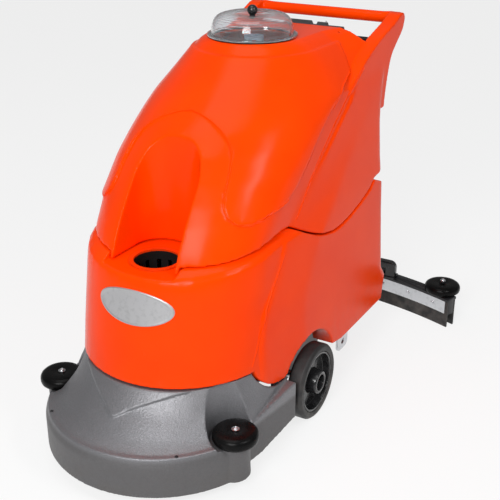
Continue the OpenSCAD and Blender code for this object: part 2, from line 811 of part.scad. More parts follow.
// Edges of the hood's raised panel: the arch over the pocket with its lower corner, seen from
// the front, and the edge along the flank, seen from the side.
arch_edge = [[0, 802], [30, 797], [61, 785], [92, 767], [118, 746], [135, 722], [145, 690], [148, 655],
    [155, 625], [170, 604], [197, 590], [260, 589]];
flank_edge = [[-420, 570], [-200, 589], [-159, 597], [-94, 608], [-63, 621], [-30, 641], [27, 690],
    [101, 749], [166, 784], [228, 814], [295, 836]];
module hood_bulge() {
    right = smooth(arch_edge, 3);
    intersection() {
        upper_skin(-7);
        side_prism(-300, 300) polygon(concat(smooth(flank_edge, 3), [[320, 900], [-420, 900]]));
        translate([0, 400, 0]) rotate([90, 0, 0]) linear_extrude(900) polygon(concat(
            right, [[260, 900], [-260, 900]],
            [for (i = [len(right) - 1:-1:1]) [-right[i][0], right[i][1]]]));
    }
}

module tank_bay(wall) {
    translate([0, bay_y, 400]) cylinder(r = bay_r + wall, h = bay_z - 400 + wall);
}

module recovery_tank() {
    color(orange) placed() {
        difference() {
            union() {
                upper_skin(0);
                hood_bulge();
            }
            console_cut(0);
            difference() {
                below_seam(-seam_gap);
                // The pocket's rim reaches down to the floor around the filling opening.
                translate([0, 0, fill_z + seam_gap]) linear_extrude(60) pocket_outline(8);
            }
            translate([0, 0, 300]) linear_extrude(700) pocket_outline(0);
            // Dirty water space.
            difference() {
                upper_skin(tank_wall);
                console_cut(tank_wall);
                box(-300, 300, -300, 600, lid_z - tank_wall, lid_z + 100);
                below_seam(-seam_gap - tank_wall);
                translate([0, 0, 300]) linear_extrude(700) pocket_outline(tank_wall);
                tank_bay(tank_wall);
                both() box(hinge_x - 40, hinge_x + 40, hinge_y - 60, 600, 400, lug_top + tank_wall);
                both() side_prism(arm_x0 - tank_wall, 300) arm_outline();
            }
            translate([0, lid_y, lid_z - 60]) cylinder(r = lid_r - 6, h = 200);
            tank_bay(0);
            translate([0, bay_y, 0]) cylinder(r = pipe_r - 3, h = bay_z + 60);
            both() box(hinge_x - lug_w / 2 - 8, hinge_x + lug_w / 2 + 8, hinge_y - 34, 600, 400,
                lug_top + seat_gap);
            for (p = [[inlet_x, inlet_z], [-inlet_x, drain_z]]) translate([p[0], spigot_y, p[1]])
                rotate([-90, 0, 0]) {
                    cylinder(r = 34, h = 100);
                    translate([0, 0, -60]) cylinder(r = 20, h = 100);
                }
            both() rod_x(arm_x0, pin_y, pin_z, 6 + run_clear, 20);
        }
        difference() {
            handle();
            below_seam(-seam_gap);
            both() rod_x(arm_x0, pin_y, pin_z, 6 + run_clear, 20);
        }
    }
}

pipe_r = 21;
float_seat = 872;
float_r = 16;
module suction_pipe() {
    color("#8f9fb0") placed() translate([0, bay_y, bay_z + tank_wall + seat_gap]) difference() {
        union() {
            cylinder(r = 34, h = 5);
            cylinder(r = pipe_r, h = 306);
            translate([0, 0, 250]) cylinder(r = pipe_r + 4, h = 56);
        }
        translate([0, 0, -1]) cylinder(r = 12, h = 400);
        translate([0, 0, 4]) cylinder(r = pipe_r - 3, h = float_seat - bay_z - tank_wall - 7);
        translate([0, 0, float_seat - bay_z - tank_wall]) cylinder(r = pipe_r - 3, h = 46);
        for (a = [0:60:359]) rotate(a) translate([0, -5, 268]) cube([60, 10, 30]);
    }
}

float_z = float_seat + 2 * seat_gap + sqrt(float_r * float_r - 144);
module float_ball() {
    color("white") placed() translate([0, bay_y, float_z]) sphere(r = float_r);
}

vacuum_z = 484;
vacuum_r = bay_r - 8;
vacuum_can_h = 60;
module vacuum_motor() {
    color(black) placed() translate([0, bay_y, vacuum_z]) {
        cylinder(r = vacuum_r, h = vacuum_can_h);
        cylinder(r = vacuum_r - 14, h = bay_z - vacuum_z - seat_gap);
    }
}

module motor_clamp() {
    color(steel) placed() translate([0, bay_y, vacuum_z - seat_gap - 6]) difference() {
        cylinder(r = bay_r - seat_gap, h = 6);
        translate([0, 0, -1]) cylinder(r = 50, h = 10);
    }
}

// Lid.
module lid_gasket() {
    color(black) placed() translate([0, lid_y, lid_z + seat_gap]) difference() {
        cylinder(r = lid_r + 6, h = 3);
        translate([0, 0, -1]) cylinder(r = lid_r - 8, h = 6);
    }
}

dome_t = 3;
lid_base = lid_z + 3 + 2 * seat_gap;
// Profile of the dome from its foot to the middle, as shares of its radius and height.
dome_dish = 0.84;
dome_curve = [[1, 0], [0.985, 0.34], [0.94, 0.64], [0.86, 0.85], [0.74, 0.96], [0.6, 1], [0.42, 0.97],
    [0.22, 0.88], [0.034, dome_dish]];
function dome_wall(r, h) = [for (p = smooth(dome_curve, 2)) [max(3.2, r * p[0]), 3 + h * p[1]]];
module dome_lid() {
    outer = dome_wall(lid_r - 1, dome_h);
    inner = dome_wall(lid_r - 1 - dome_t, dome_h - dome_t);
    color([0.85, 0.87, 0.9, 0.4]) placed() translate([0, lid_y, lid_base])
        rotate_extrude($fn = 96) polygon(concat(
            [[lid_r - 1 - dome_t, 0], [lid_r + 9, 0], [lid_r + 9, 3]],
            outer, [for (i = [len(outer) - 1:-1:1]) inner[i]]));
}

module lid_knob() {
    color(black) placed() translate([0, lid_y, lid_base + 3 + dome_h * dome_dish]) {
        translate([0, 0, -9]) cylinder(r = 3, h = 16);
        translate([0, 0, -dome_t * dome_dish - seat_gap - 3]) cylinder(r = 8, h = 3);
        translate([0, 0, seat_gap]) cylinder(r = 7, h = 6);
        translate([0, 0, 14.4]) sphere(r = 13);
    }
}

// Hose fittings on the rear of the recovery tank.
inlet_x = 70;
inlet_z = 640;
drain_z = 582;
spigot_y = 452;
module spigot(x, z, len) {
    color(black) placed() translate([x, spigot_y + seat_gap, z]) rotate([-90, 0, 0]) difference() {
        union() {
            cylinder(r = 33, h = 8);
            cylinder(r = 24, h = len);
        }
        translate([0, 0, -1]) cylinder(r = 20, h = len + 2);
    }
}
module hose_inlet() { spigot(inlet_x, inlet_z, 58); }
module drain_outlet() { spigot(-inlet_x, drain_z, 46); }
module drain_cap() {
    color("#b02020") placed() translate([-inlet_x, spigot_y + 12, drain_z]) rotate([-90, 0, 0])
        difference() {
            cylinder(r = 30, h = 40);
            translate([0, 0, -1]) cylinder(r = 24 + seat_gap, h = 36);
        }
}

// The slope of the operator's console, with its own axes.
console_angle = atan2(lid_z + 2 - console_z1, console_y1 - 16 - console_y0);
module on_console(x, along, up) {
    translate([x, console_y0, lid_z + 2]) rotate([-console_angle, 0, 0])
        translate([0, along, up]) children();
}

rocker_along = 108;
rocker_x = 46;
module control_panel() {
    color("#3a3b3f") placed() on_console(0, 0, seat_gap) difference() {
        union() {
            translate([-150, 4, 0]) cube([300, 128, 4]);
            translate([-23, 10, 0]) cube([73, 62, 20]);
            translate([67, 10, 0]) cube([30, 40, 18]);
        }
        for (x = [-rocker_x, 0, rocker_x]) {
            translate([x - 11, rocker_along - 12, -1]) cube([22, 24, 8]);
            rod_x(x, rocker_along, 2, 1.5 + run_clear, 26);
        }
        translate([82, 30, 6]) cylinder(r = 9 + run_clear, h = 20);
        translate([13.5, 41, 12]) cylinder(r = 24 + seat_gap, h = 20);
    }
}

module rocker(i) {
    color(black) placed() on_console(i * rocker_x, rocker_along, seat_gap + 2) {
        translate([-10, -10.5, 2.4]) cube([20, 21, 5]);
        translate([-10, -4, -1.4]) cube([20, 8, 4]);
        rod_x(0, 0, 0, 1.5, 25);
    }
}
module rocker_left() { rocker(1); }
module rocker_middle() { rocker(0); }
module rocker_right() { rocker(-1); }

module key_switch() {
    color(steel) placed() on_console(82, 30, seat_gap) {
        translate([0, 0, 6 + seat_gap]) cylinder(r = 9, h = 13);
        translate([-1.5, -7, 18]) cube([3, 14, 17]);
    }
}

module battery_gauge() {
    color("#20242a") placed() on_console(13.5, 41, 12 + 2 * seat_gap)
        cylinder(r = 24, h = 9);
}

// Dead-man lever under the bar, hung between the handle arms.
pin_y = 546;
pin_z = 890;
module deadman_lever() {
    color(black) placed() {
        both() {
            rod_x(arm_x0 - 2, pin_y, pin_z, 6, 20);
            side_prism(arm_x0 - 12, arm_x0 - 4) union() {
                polygon([[pin_y - 5, pin_z - 9], [pin_y + 54, pin_z - 48], [pin_y + 60, pin_z - 31],
                    [pin_y + 5, pin_z + 9]]);
                translate([pin_y, pin_z]) circle(r = 10);
            }
        }
        rod_x(0, pin_y + 58, pin_z - 38, 8, 2 * arm_x0 - 8);
    }
}

// Foot pedal that lifts and latches the brush head.
module lift_pedal() {
    color(steel) placed() {
        rod_x(-pedal_x, pedal_y, pedal_z, 6, 56);
        rod_x(-pedal_x, pedal_y, pedal_z, 12, 35);
        side_prism(-pedal_x - 9, -pedal_x + 9)
            polygon([[pedal_y, pedal_z - 8], [pedal_y + 84, pedal_z - 40], [pedal_y + 92, pedal_z - 32],
                [pedal_y, pedal_z + 8]]);
        box(-pedal_x - 28, -pedal_x + 28, pedal_y + 62, pedal_y + 112, pedal_z - 40, pedal_z - 34);
    }
}

// Hand lever that lifts the squeegee.
module squeegee_lever() {
    color(steel) placed() {
        rod_x(lever_x, lever_y, lever_z, 6, 40);
        rod_x(lever_x, lever_y, lever_z, 11, 19);
        translate([lever_x, lever_y, lever_z]) rotate([-6, 0, 0]) {
            cylinder(r = 7, h = 290);
            translate([0, 0, 280]) cylinder(r = 14, h = 46);
            translate([0, 0, 326]) sphere(r = 14);
        }
    }
}

// Squeegee: swivel block, arm, yoke, curved bar with two blades, straps and rollers.
lift_y = 462;
lift_z = 120;
arm_top = rail_z0 - seat_gap;
module squeegee_pivot() {
    color("#2b2b2e") placed() {
        translate([0, squeegee_pivot_y, arm_top - 25]) cylinder(r = pivot_r, h = 54);
        translate([0, squeegee_pivot_y, arm_top - 29]) cylinder(r = 18, h = 29);
        difference() {
            union() {
                box(-14, 14, squeegee_pivot_y, lift_y, lift_z - 14, arm_top);
                rod_x(0, lift_y, lift_z, 14, 28);
            }
            rod_x(0, lift_y, lift_z, 6 + run_clear, 60);
        }
    }
}

arc_y = squeegee_y - squeegee_arc_r;
arc_half = asin(squeegee_half / squeegee_arc_r);
function arc_at(x) = arc_y + sqrt(squeegee_arc_r * squeegee_arc_r - x * x);
yoke_y0 = 676;
yoke_y1 = 694;
bar_top = 93;
module squeegee_arm() {
    color("#2b2b2e") placed() {
        rod_x(0, lift_y, lift_z, 6, 44);
        both() side_prism(14 + seat_gap, 22)
            polygon([[lift_y - 12, lift_z - 10], [lift_y + 20, lift_z - 12], [yoke_y0 - seat_gap, lift_z - 2],
                [yoke_y0 - seat_gap, lift_z + 26], [lift_y, lift_z + 12], [lift_y - 12, lift_z + 6]]);
        box(-20, 20, lift_y + 26, yoke_y0 - seat_gap, lift_z + 2, lift_z + 8);
        box(-34, 34, yoke_y0 - seat_gap - 6, yoke_y0 - seat_gap, lift_z - 2, lift_z + 27);
    }
}

yoke_leg = 31;
yoke_top = 150;
knob_x = yoke_w - yoke_leg - 15;
knob_y = arc_at(knob_x) - 4;
module squeegee_yoke() {
    color(black) placed() {
        translate([0, yoke_y1, 0]) rotate([90, 0, 0]) linear_extrude(yoke_y1 - yoke_y0) difference() {
            union() {
                translate([-yoke_w, bar_top + seat_gap]) square([2 * yoke_w, yoke_top - bar_top - 20]);
                translate([20 - yoke_w, bar_top + seat_gap])
                    square([2 * yoke_w - 40, yoke_top - bar_top - seat_gap]);
                for (x = [20 - yoke_w, yoke_w - 20]) translate([x, yoke_top - 20]) circle(r = 20);
            }
            translate([yoke_leg - yoke_w, 0]) square([2 * (yoke_w - yoke_leg), yoke_top - 22]);
        }
        both() difference() {
            box(knob_x - 17, yoke_w - 1, yoke_y0 - 4, knob_y + 10, bar_top + seat_gap, bar_top + 7);
            translate([knob_x, knob_y, 0]) cylinder(r = 4 + run_clear, h = 300);
        }
    }
}

// A band along the squeegee's curve between two radii and two heights.
module arc_band(r0, r1, z0, z1, half) {
    translate([0, arc_y, z0]) rotate([0, 0, 90 - half])
        rotate_extrude(angle = 2 * half, $fn = 720)
            translate([squeegee_arc_r + r0, 0]) square([r1 - r0, z1 - z0]);
}

squeegee_roller_x = squeegee_half - 44;
squeegee_roller_y = arc_at(squeegee_roller_x) + 21.2;
roller_t = 28;
module squeegee_frame() {
    color("#2b2b2e") placed() difference() {
        union() {
            arc_band(-squeegee_bar, squeegee_bar, 40, bar_top, arc_half);
            arc_band(-squeegee_back, squeegee_back, bar_top - 8, bar_top, arc_half);
            both() translate([squeegee_roller_x, squeegee_roller_y, bar_top - 8]) cylinder(r = 20, h = 8);
            both() translate([squeegee_roller_x, squeegee_roller_y, bar_top - 1])
                cylinder(r = 5, h = roller_t + 8);
            both() translate([squeegee_roller_x, squeegee_roller_y, bar_top + roller_t + 2 * seat_gap])
                cylinder(r = 10, h = 6);
            translate([0, squeegee_y, bar_top - 1]) cylinder(r = 19, h = 31);
        }
        translate([0, squeegee_y, 0]) cylinder(r = 16, h = 200);
        both() translate([knob_x, knob_y, bar_top - 30]) cylinder(r = 4 + run_clear, h = 100);
    }
}

module squeegee_blades() {
    color("#7a3b22") placed() for (s = [-1, 1]) {
        r = s > 0 ? squeegee_bar + seat_gap : -squeegee_bar - seat_gap - blade_t;
        arc_band(r, r + blade_t, 0, bar_top - 8 - seat_gap, arc_half);
    }
}

module squeegee_strap() {
    color(steel) placed() for (s = [-1, 1]) {
        r = s > 0 ? squeegee_back - 3 : -squeegee_back;
        arc_band(r, r + 3, 45, bar_top - 8 - seat_gap, arc_half - 0.4);
    }
}

module squeegee_roller_left() {
    roller(squeegee_roller_x, squeegee_roller_y, bar_top + seat_gap, roller_t);
}
module squeegee_roller_right() {
    roller(-squeegee_roller_x, squeegee_roller_y, bar_top + seat_gap, roller_t);
}

module wing_knobs() {
    color(black) placed() both() translate([knob_x, knob_y, 0]) {
        translate([0, 0, bar_top - 26]) cylinder(r = 4, h = 46);
        translate([0, 0, bar_top + 7 + seat_gap]) cylinder(r = 9, h = 4);
        for (a = [0:60:359]) rotate(a) translate([9, 0, bar_top + 11]) cylinder(r = 5, h = 11);
        translate([0, 0, bar_top + 11]) cylinder(r = 10, h = 11);
    }
}

chassis_frame();
deck_cover();
bumper_bolts();
solution_tank();
fill_strainer();
axle();
axle_washers();
battery_front();
battery_rear();
hinge_brackets();
hinge_pins();
guide_posts();
solution_valve();
castor_plates();
wheel_hub_left();
wheel_hub_right();
tyre_left();
tyre_right();
castor_fork_left();
castor_fork_right();
castor_wheel_left();
castor_wheel_right();
bumper_roller_left();
bumper_roller_right();
brush_carrier();
brush_motor();
brush_gearbox();
drive_hub();
brush_plate();
brush_bristles();
lift_pedal();
recovery_tank();
hinge_lugs();
lid_gasket();
suction_pipe();
float_ball();
vacuum_motor();
motor_clamp();
hose_inlet();
drain_outlet();
drain_cap();
control_panel();
rocker_left();
rocker_middle();
rocker_right();
key_switch();
battery_gauge();
deadman_lever();
dome_lid();
lid_knob();
squeegee_pivot();
squeegee_arm();
squeegee_yoke();
squeegee_frame();
squeegee_blades();
squeegee_strap();
squeegee_roller_left();
squeegee_roller_right();
squeegee_lever();
wing_knobs();
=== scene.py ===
"""Looks of a walk-behind floor scrubber: its plastics, casting, rubber and steel, and the
fine pieces that finish the plain solids."""

import json
import math

import bmesh
import bpy
from mathutils import Matrix, Vector
from mathutils.kdtree import KDTree


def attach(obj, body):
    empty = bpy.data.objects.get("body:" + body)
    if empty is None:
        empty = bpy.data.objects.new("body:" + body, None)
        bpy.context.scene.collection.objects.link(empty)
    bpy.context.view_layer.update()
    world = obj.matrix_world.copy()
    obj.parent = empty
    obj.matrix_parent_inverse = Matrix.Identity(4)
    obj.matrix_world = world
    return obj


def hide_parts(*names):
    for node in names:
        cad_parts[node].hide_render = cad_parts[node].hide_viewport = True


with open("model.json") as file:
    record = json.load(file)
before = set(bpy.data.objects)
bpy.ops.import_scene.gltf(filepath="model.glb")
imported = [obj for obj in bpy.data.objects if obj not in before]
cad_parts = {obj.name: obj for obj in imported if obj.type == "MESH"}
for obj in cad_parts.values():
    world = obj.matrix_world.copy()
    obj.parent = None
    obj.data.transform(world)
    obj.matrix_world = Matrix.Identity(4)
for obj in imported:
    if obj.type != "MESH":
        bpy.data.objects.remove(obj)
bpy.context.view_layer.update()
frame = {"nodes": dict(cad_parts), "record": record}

body_of_node = {n: b for b, nodes in frame["record"]["behaviour"]["bodies"].items() for n in nodes}
slot_of_node = {s["node"]: s["material_slot"] for s in frame["record"]["subparts"]}


# ---------------------------------------------------------------- shader maths

class Level:
    """One output of a finish's node, which Python's operators can work on."""

    def __init__(self, finish, socket):
        self.finish = finish
        self.socket = socket

    def _with(self, operation, first, second):
        return self.finish.node("ShaderNodeMath", {"operation": operation}, {0: first, 1: second})

    def __add__(self, other):
        return self._with("ADD", self, other)

    def __radd__(self, other):
        return self._with("ADD", other, self)

    def __sub__(self, other):
        return self._with("SUBTRACT", self, other)

    def __rsub__(self, other):
        return self._with("SUBTRACT", other, self)

    def __mul__(self, other):
        return self._with("MULTIPLY", self, other)

    def __rmul__(self, other):
        return self._with("MULTIPLY", other, self)

    def __truediv__(self, other):
        return self._with("DIVIDE", self, other)

    def __pow__(self, other):
        return self._with("POWER", self, other)

    def above(self, low, high):
        """0 under low, 1 over high, and even between them."""
        return self.finish.node("ShaderNodeMapRange", {"clamp": True},
                                {"Value": self, "From Min": low, "From Max": high})


class Finish:
    """A material under construction: its node tree and its surface shader."""

    def __init__(self, name, **plain):
        self.material = bpy.data.materials.new(name)
        self.material.use_nodes = True
        self.tree = self.material.node_tree
        self.surface = next(n for n in self.tree.nodes if n.type == "BSDF_PRINCIPLED")
        for socket, value in plain.items():
            self.surface.inputs[socket.replace("_", " ")].default_value = value

    def node(self, kind, settings=None, inputs=None, out=0):
        n = self.tree.nodes.new(kind)
        for key, value in (settings or {}).items():
            if key == "stops":
                ramp = n.color_ramp
                while len(ramp.elements) < len(value):
                    ramp.elements.new(0.5)
                for element, (place, colour) in zip(ramp.elements, value):
                    element.position = place
                    element.color = (*colour, 1.0)
            else:
                setattr(n, key, value)
        for key, value in (inputs or {}).items():
            if isinstance(value, Level):
                self.tree.links.new(value.socket, n.inputs[key])
            elif value is not None:
                n.inputs[key].default_value = value
        return Level(self, n.outputs[out])

    def set(self, socket, level):
        self.tree.links.new(level.socket, self.surface.inputs[socket])

    def place(self):
        """The piece's own coordinates, in metres."""
        return self.node("ShaderNodeTexCoord", out="Object")

    def axis(self, letter):
        return self.node("ShaderNodeSeparateXYZ", inputs={0: self.place()}, out=letter.upper())

    def noise(self, size, detail=2.0, roughness=0.5):
        """Even noise whose features are about size metres across."""
        return self.node("ShaderNodeTexNoise", {}, {"Vector": self.place(), "Scale": 1.0 / size,
                                                    "Detail": detail, "Roughness": roughness})

    def cells(self, size, feature="F1"):
        return self.node("ShaderNodeTexVoronoi", {"feature": feature},
                         {"Vector": self.place(), "Scale": 1.0 / size})

    def colour_mix(self, share, first, second):
        """first where share is 0 and second where it is 1."""
        return self.node("ShaderNodeMix", {"data_type": "RGBA"},
                         {0: share, 6: first if isinstance(first, Level) else (*first, 1.0),
                          7: second if isinstance(second, Level) else (*second, 1.0)}, out=2)

    def bump(self, height, depth, strength=1.0, over=None):
        return self.node("ShaderNodeBump", {}, {"Height": height, "Distance": depth,
                                                "Strength": strength, "Normal": over})


def floor_dust(finish, reach):
    """1 on the lowest surfaces, gone by reach metres up, and broken up by noise."""
    height = 1 - finish.axis("z").above(0.0, reach)
    return height * finish.noise(0.035, 5.0).above(0.38, 0.72)


# ------------------------------------------------------------------- finishes

def moulded_plastic(name, colour, deep, rough, dust=0.25, grain=0.00012, sheen=0.3):
    """Rotomoulded polyethylene: a soft sheen, a pebbled skin and slow changes of colour."""
    f = Finish(name, Specular_IOR_Level=sheen)
    clouds = f.noise(0.16, 3.0)
    tint = f.colour_mix(clouds.above(0.3, 0.75), colour, deep)
    scuffs = f.noise(0.02, 6.0, 0.65).above(0.62, 0.78) * 0.12
    tint = f.colour_mix(scuffs * floor_dust(f, 0.6), tint, (0.55, 0.30, 0.20))
    tint = f.colour_mix(floor_dust(f, 0.26) * dust, tint, (0.42, 0.30, 0.22))
    f.set("Base Color", tint)
    f.set("Roughness", rough + f.noise(0.05, 4.0) * 0.10 + floor_dust(f, 0.3) * 0.15)
    pebbles = f.noise(0.0016, 2.0) + f.cells(0.0035) * 0.6
    waves = f.bump(f.noise(0.07, 1.0), 0.0005, 0.25)
    f.set("Normal", f.bump(pebbles, grain, 0.5, waves))
    return f.material


def hammered_silver():
    """Silver paint on a rough casting, with metal flakes and grime along the floor edge."""
    f = Finish("hammered_silver", Metallic=0.6, Coat_Weight=0.10, Coat_Roughness=0.3)
    flakes = f.cells(0.0013).above(0.1, 0.55)
    tint = f.colour_mix(flakes, (0.31, 0.31, 0.33), (0.19, 0.19, 0.20))
    tint = f.colour_mix(f.noise(0.12, 3.0).above(0.35, 0.7) * 0.35, tint, (0.18, 0.18, 0.19))
    lower = 1 - f.axis("z").above(0.118, 0.130)
    glints = f.cells(0.0021).above(0.0, 0.2)
    skirt = f.colour_mix(glints, (0.24, 0.228, 0.22), (0.092, 0.087, 0.085))
    tint = f.colour_mix(lower * 0.62, tint, skirt)
    tint = f.colour_mix(floor_dust(f, 0.10) * 0.5, tint, (0.13, 0.115, 0.10))
    chips = f.noise(0.006, 5.0, 0.7).above(0.74, 0.78) * (1 - f.axis("z").above(0.03, 0.10))
    f.set("Base Color", f.colour_mix(chips * 0.7, tint, (0.08, 0.08, 0.085)))
    f.set("Roughness", 0.34 + f.noise(0.01, 4.0) * 0.2 + lower * 0.14)
    skin = f.noise(0.0022, 3.0, 0.6) + f.cells(0.0042) * 0.7
    f.set("Normal", f.bump(skin, 0.0006, 0.8))
    return f.material


def black_plastic(name, rough, tone=0.012):
    f = Finish(name, Specular_IOR_Level=0.5)
    wear = f.noise(0.03, 5.0).above(0.45, 0.8)
    f.set("Base Color", f.colour_mix(wear * 0.6, (tone, tone, tone * 1.08), (tone * 3, tone * 3, tone * 3.1)))
    f.set("Roughness", rough + wear * 0.18)
    f.set("Normal", f.bump(f.noise(0.0011, 2.0), 0.00008, 0.5, f.bump(f.noise(0.02, 1.0), 0.0002, 0.4)))
    return f.material


def rubber(name, tone, rough, dusty, sheen=0.4):
    """Rubber with a fine skin, mould bloom and dust where it meets the floor."""
    f = Finish(name, Specular_IOR_Level=sheen)
    bloom = f.noise(0.025, 5.0, 0.6).above(0.4, 0.75)
    tint = f.colour_mix(bloom * 0.5, (tone, tone, tone * 1.05), (tone * 2.4, tone * 2.4, tone * 2.4))
    f.set("Base Color", f.colour_mix(floor_dust(f, 0.2) * dusty, tint, (0.20, 0.18, 0.16)))
    f.set("Roughness", rough + bloom * 0.15)
    f.set("Normal", f.bump(f.noise(0.0009, 3.0) + f.noise(0.006, 2.0), 0.00012, 0.7))
    return f.material


def steel(name, colour, rough, metal=1.0, along=None):
    """Plated or painted steel, drawn along one axis where along says so."""
    f = Finish(name, Metallic=metal)
    spots = f.noise(0.012, 6.0, 0.65).above(0.5, 0.8)
    darker = tuple(0.55 * c for c in colour)
    f.set("Base Color", f.colour_mix(spots * 0.45, colour, darker))
    streaks = f.noise(0.002, 3.0)
    if along:
        lie = f.node("ShaderNodeMapping", {}, {"Vector": f.place(), "Scale": along})
        streaks = f.node("ShaderNodeTexNoise", {}, {"Vector": lie, "Scale": 1.0, "Detail": 3.0})
    f.set("Roughness", rough + streaks * 0.16 + spots * 0.12)
    f.set("Normal", f.bump(streaks, 0.00005, 0.5))
    return f.material


def clear_dome():
    """Clear moulded plastic, faintly hazed by washing."""
    f = Finish("clear_dome", Transmission_Weight=0.94, IOR=1.42, Specular_IOR_Level=0.5)
    haze = f.noise(0.05, 4.0).above(0.42, 0.8)
    f.set("Base Color", f.colour_mix(haze, (0.93, 0.94, 0.96), (0.80, 0.81, 0.84)))
    f.set("Roughness", 0.03 + haze * 0.10)
    f.set("Normal", f.bump(f.noise(0.03, 2.0), 0.0003, 0.25))
    return f.material


def nylon_bristle():
    """Cut nylon: fine upright strands, with painted highlights on the lighter ones where they catch the light
    one by one.
    """
    f = Finish("nylon_bristle", Specular_IOR_Level=0.5)
    lie = f.node("ShaderNodeMapping", {}, {"Vector": f.place(), "Scale": (900.0, 900.0, 14.0)})
    strands = f.node("ShaderNodeTexNoise", {}, {"Vector": lie, "Scale": 1.0, "Detail": 2.0})
    # painted highlight: lighter strands mixed into the base colour, standing in for strands that catch the
    # light
    f.set("Base Color", f.colour_mix(strands.above(0.35, 0.65), (0.015, 0.017, 0.02), (0.11, 0.12, 0.14)))
    f.set("Roughness", 0.45 + strands * 0.25)
    f.set("Normal", f.bump(strands, 0.0008, 0.8))
    return f.material


def strainer_plastic():
    """A dark basket under a flange in the tank's own orange."""
    f = Finish("strainer_plastic", Specular_IOR_Level=0.2)
    flange = f.axis("z").above(0.4845, 0.4850)
    worn = f.noise(0.02, 4.0)
    tint = f.colour_mix(flange, (0.012, 0.011, 0.011), (0.86, 0.050, 0.0))
    f.set("Base Color", f.colour_mix(worn * 0.25, tint, (0.02, 0.012, 0.01)))
    f.set("Roughness", 0.30 + worn * 0.15)
    f.set("Normal", f.bump(f.noise(0.0015, 2.0), 0.00006, 0.5))
    return f.material


finishes = {
    "orange_plastic": moulded_plastic("moulded_orange", (1.0, 0.058, 0.0), (0.94, 0.048, 0.0), 0.16, sheen=0.08,
                                       grain=0.00004),
    "silver_casting": hammered_silver(),
    "black_plastic": black_plastic("gloss_black", 0.16),
    "dark_plastic": black_plastic("satin_black", 0.42, 0.022),
    "black_rubber": rubber("roller_rubber", 0.003, 0.24, 0.04, 0.10),
    "tyre_rubber": rubber("tyre_rubber", 0.016, 0.50, 0.45),
    "blade_rubber": rubber("blade_rubber", 0.012, 0.5, 0.4),
    "dark_steel": steel("coated_steel", (0.013, 0.013, 0.015), 0.30, 0.1),
    "plated_steel": steel("plated_steel", (0.62, 0.63, 0.65), 0.24, along=(60.0, 60.0, 900.0)),
    "gear_aluminium": steel("cast_aluminium", (0.42, 0.43, 0.45), 0.42, 0.9),
    "blue_plastic": moulded_plastic("brush_blue", (0.02, 0.09, 0.33), (0.015, 0.07, 0.27), 0.4, 0.4),
    "bristle_nylon": nylon_bristle(),
    "clear_plastic": clear_dome(),
    "grey_plastic": moulded_plastic("pipe_grey", (0.34, 0.44, 0.53), (0.28, 0.37, 0.46), 0.35, 0.1),
    "white_plastic": moulded_plastic("float_white", (0.75, 0.75, 0.72), (0.66, 0.66, 0.62), 0.35, 0.1),
    "red_plastic": moulded_plastic("cap_red", (0.42, 0.01, 0.012), (0.34, 0.008, 0.01), 0.3, 0.2),
}


# --------------------------------------------------------------------- pieces

def alone():
    """Nothing selected, so that the next operator works on its own piece."""
    bpy.ops.object.select_all(action="DESELECT")


def take(piece):
    alone()
    piece.select_set(True)
    bpy.context.view_layer.objects.active = piece


def finish_piece(piece, name, body, slot=None, material=None):
    """Names a new piece, gives it its material and body, and settles its place."""
    take(piece)
    bpy.ops.object.transform_apply(location=True, rotation=True, scale=True)
    piece.name = name
    piece.data.name = name
    if material or slot:
        piece.data.materials.clear()
        piece.data.materials.append(material or finishes[slot])
    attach(piece, body)
    return piece


machine_middle = 0.0918


def at(x, y, z):
    """A place in metres, from millimetres measured from the floor under the axle's middle."""
    return Vector((x / 1000.0, y / 1000.0 - machine_middle, z / 1000.0))


def soften(piece, edge, angle=30.0, segments=3):
    """Rounds the edges that are sharper than angle."""
    take(piece)
    soft = piece.modifiers.new("edges", "BEVEL")
    soft.width = edge
    soft.segments = segments
    soft.limit_method = "ANGLE"
    soft.angle_limit = math.radians(angle)
    soft.harden_normals = True
    bpy.ops.object.modifier_apply(modifier=soft.name)
    bpy.ops.object.shade_smooth_by_angle(angle=math.radians(40))
    return piece


def cut(piece, tool):
    """Takes tool's space out of piece."""
    take(piece)
    gap = piece.modifiers.new("gap", "BOOLEAN")
    gap.object = tool
    gap.solver = "EXACT"
    bpy.ops.object.modifier_apply(modifier=gap.name)
    bpy.data.objects.remove(tool)
    return piece


def join(pieces):
    alone()
    for piece in pieces:
        piece.select_set(True)
    bpy.context.view_layer.objects.active = pieces[0]
    bpy.ops.object.transform_apply(location=True, rotation=True, scale=True)
    if len(pieces) > 1:
        bpy.ops.object.join()
    return bpy.context.object


def turned(rings, place, turn=(0.0, 0.0, 0.0), sides=48):
    """A turned solid from rings of radius and height in millimetres, end to end."""
    alone()
    radius, height = rings[0]
    bpy.ops.mesh.primitive_circle_add(vertices=sides, radius=radius / 1000.0, fill_type="NGON",
                                      location=(0.0, 0.0, 0.0))
    piece = bpy.context.object
    bpy.ops.object.mode_set(mode="EDIT")
    bpy.ops.mesh.select_all(action="SELECT")
    bpy.ops.transform.translate(value=(0.0, 0.0, height / 1000.0))
    for wide, high in rings[1:]:
        bpy.ops.mesh.extrude_region_move(
            TRANSFORM_OT_translate={"value": (0.0, 0.0, (high - height) / 1000.0)})
        bpy.ops.transform.resize(value=(wide / radius, wide / radius, 1.0),
                                 center_override=(0.0, 0.0, high / 1000.0))
        radius, height = wide, high
    bpy.ops.mesh.select_all(action="SELECT")
    bpy.ops.mesh.normals_make_consistent(inside=False)
    bpy.ops.object.mode_set(mode="OBJECT")
    piece.location = place
    piece.rotation_euler = turn
    bpy.ops.object.transform_apply(location=True, rotation=True, scale=True)
    bpy.ops.object.shade_smooth_by_angle(angle=math.radians(35))
    return piece


def block(x0, x1, y0, y1, z0, z1, edge=0.0):
    """A box between two corners in millimetres, with rounded edges."""
    alone()
    low, high = at(x0, y0, z0), at(x1, y1, z1)
    bpy.ops.mesh.primitive_cube_add(size=1.0, location=(low + high) / 2.0, scale=high - low)
    bpy.ops.object.transform_apply(location=True, rotation=True, scale=True)
    piece = bpy.context.object
    return soften(piece, edge) if edge else piece


